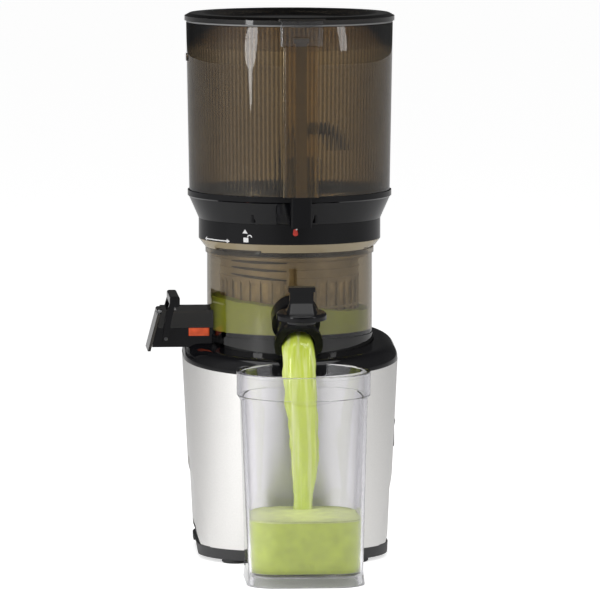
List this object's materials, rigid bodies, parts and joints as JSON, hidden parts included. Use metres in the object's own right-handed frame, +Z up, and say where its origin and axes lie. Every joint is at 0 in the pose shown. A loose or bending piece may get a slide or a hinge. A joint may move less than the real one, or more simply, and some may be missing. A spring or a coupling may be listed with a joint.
{
  "type": "cold press juicer",
  "caption": "Upright cold press juicer with a silver motor base, smoky hopper, drum with spout and pulp chute, and a clear juice cup",
  "frame": {"origin": "on the table, below the drive axis", "axes": "+Z up, -Y towards the spout and the cup, -X towards the pulp chute"},
  "size_m": [0.2095, 0.3197, 0.452],
  "materials": {
    "silver_shell": "satin silver lacquer",
    "black_gloss": "black gloss",
    "dark_plastic": "dark grey matte",
    "black_rubber": "matte",
    "steel": "turned",
    "copper": "enamelled copper wire",
    "cast_alloy": "die cast",
    "board_green": "solder mask",
    "white_nylon": "moulded nylon",
    "smoky_clear": "smoky transparent plastic",
    "smoky_dark": "dark smoky transparent plastic",
    "smoky_lid": "dark smoky transparent plastic",
    "clear_latch": "clear plastic",
    "clear_cup": "clear plastic",
    "grey_silicone": "silicone",
    "red_silicone": "silicone",
    "strainer_plastic": "dark moulded",
    "screen_mesh": "etched fine screen",
    "auger_plastic": "dark moulded"
  },
  "bodies": {
    "base": {"base_shell": "silver_shell", "top_cover": "black_gloss", "shaft_seal": "black_rubber", "bottom_tray": "dark_plastic", "rubber_feet": "black_rubber", "base_screws": "steel", "cord_inlet": "black_rubber", "control_board": "board_green", "switch_frame": "dark_plastic", "motor_stator": "steel", "motor_coils": "copper", "motor_lower_bracket": "cast_alloy", "motor_upper_bracket": "cast_alloy", "motor_bearings": "steel", "motor_bolts": "steel", "gearbox_housing": "dark_plastic", "gearbox_cover": "dark_plastic", "output_bearing": "steel", "gear_pin": "steel", "gearbox_screws": "steel"},
    "rocker": {"rocker_switch": "dark_plastic"},
    "motor": {"motor_rotor": "steel", "cooling_fan": "white_nylon", "motor_pinion": "steel"},
    "intermediate": {"intermediate_gear": "white_nylon"},
    "drive": {"output_gear": "white_nylon", "drive_shaft": "steel"},
    "drum": {"drum_bowl": "smoky_clear", "drum_base_ring": "smoky_dark", "drum_seal": "grey_silicone", "drum_gasket": "grey_silicone", "juice_spout": "black_gloss", "cap_pin": "steel", "pulp_chute": "black_gloss", "pulp_seal": "red_silicone", "chute_cover": "smoky_dark", "flap_pin": "steel", "lever_pins": "dark_plastic", "strainer": "strainer_plastic", "strainer_screen": "screen_mesh"},
    "spout_cap": {"spout_cap": "black_gloss", "cap_plug": "black_rubber"},
    "pulp_flap": {"pulp_flap": "smoky_dark"},
    "pulp_lever": {"pulp_lever": "black_gloss"},
    "auger": {"auger": "auger_plastic", "auger_socket": "steel"},
    "lock_ring": {"lock_ring": "black_gloss"},
    "hopper": {"hopper_collar": "black_gloss", "hopper_tube": "smoky_clear", "interlock_channel": "smoky_clear", "lid_pin": "steel", "rod_spring": "steel"},
    "rod": {"interlock_rod": "dark_plastic"},
    "lid": {"hopper_lid": "smoky_lid", "lid_latch": "clear_latch", "lid_gasket": "grey_silicone"},
    "cup": {"juice_cup": "clear_cup"}
  },
  "joints": [
    {"name": "rocker_tilt", "type": "hinge", "parent": "base", "child": "rocker", "pos_m": [0.0826, 0, 0.107], "axis": [0, -1, 0], "range_deg": [0, 22]},
    {"name": "motor_spin", "type": "hinge", "parent": "base", "child": "motor", "pos_m": [0, 0, 0.05], "axis": [0, 0, 1], "continuous": true},
    {"name": "intermediate_spin", "type": "hinge", "parent": "base", "child": "intermediate", "pos_m": [0, 0.036, 0.11], "axis": [0, 0, 1], "continuous": true},
    {"name": "drive_spin", "type": "hinge", "parent": "base", "child": "drive", "pos_m": [0, 0, 0.15], "axis": [0, 0, 1], "continuous": true},
    {"name": "drum_lift", "type": "slide", "parent": "base", "child": "drum", "axis": [0, 0, 1], "range_m": [0, 0.06]},
    {"name": "auger_spin", "type": "hinge", "parent": "drum", "child": "auger", "pos_m": [0, 0, 0.22], "axis": [0, 0, 1], "continuous": true},
    {"name": "cap_close", "type": "hinge", "parent": "drum", "child": "spout_cap", "pos_m": [0, -0.11806, 0.20938], "axis": [1, 0, 0], "range_deg": [0, 110]},
    {"name": "flap_swing", "type": "hinge", "parent": "drum", "child": "pulp_flap", "pos_m": [-0.1099, 0, 0.2033], "axis": [0, 1, 0], "range_deg": [0, 40]},
    {"name": "lever_swing", "type": "hinge", "parent": "drum", "child": "pulp_lever", "pos_m": [-0.105, 0, 0.182], "axis": [0, -1, 0], "range_deg": [0, 50]},
    {"name": "ring_twist", "type": "hinge", "parent": "drum", "child": "lock_ring", "pos_m": [0, 0, 0.265], "axis": [0, 0, 1], "range_deg": [0, 42]},
    {"name": "hopper_lift", "type": "slide", "parent": "lock_ring", "child": "hopper", "axis": [0, 0, 1], "range_m": [0, 0.1]},
    {"name": "rod_press", "type": "slide", "parent": "hopper", "child": "rod", "axis": [0, 0, 1], "range_m": [-0.003, 0], "stiffness_N_per_m": 400, "springref_m": 0.0015, "deforming": ["rod_spring"]},
    {"name": "lid_hinge", "type": "hinge", "parent": "hopper", "child": "lid", "pos_m": [-0.00383, 0.09142, 0.4434], "axis": [-0.9991, -0.0419, 0], "range_deg": [0, 100]},
    {"name": "cup_slide", "type": "slide", "parent": "base", "child": "cup", "axis": [0, -1, 0], "range_m": [0, 0.15]}
  ],
  "couplings": [
    {"joint": "motor_spin", "follows": "drive_spin", "ratio": 25},
    {"joint": "intermediate_spin", "follows": "drive_spin", "ratio": -5},
    {"joint": "auger_spin", "follows": "drive_spin", "ratio": 1}
  ]
}
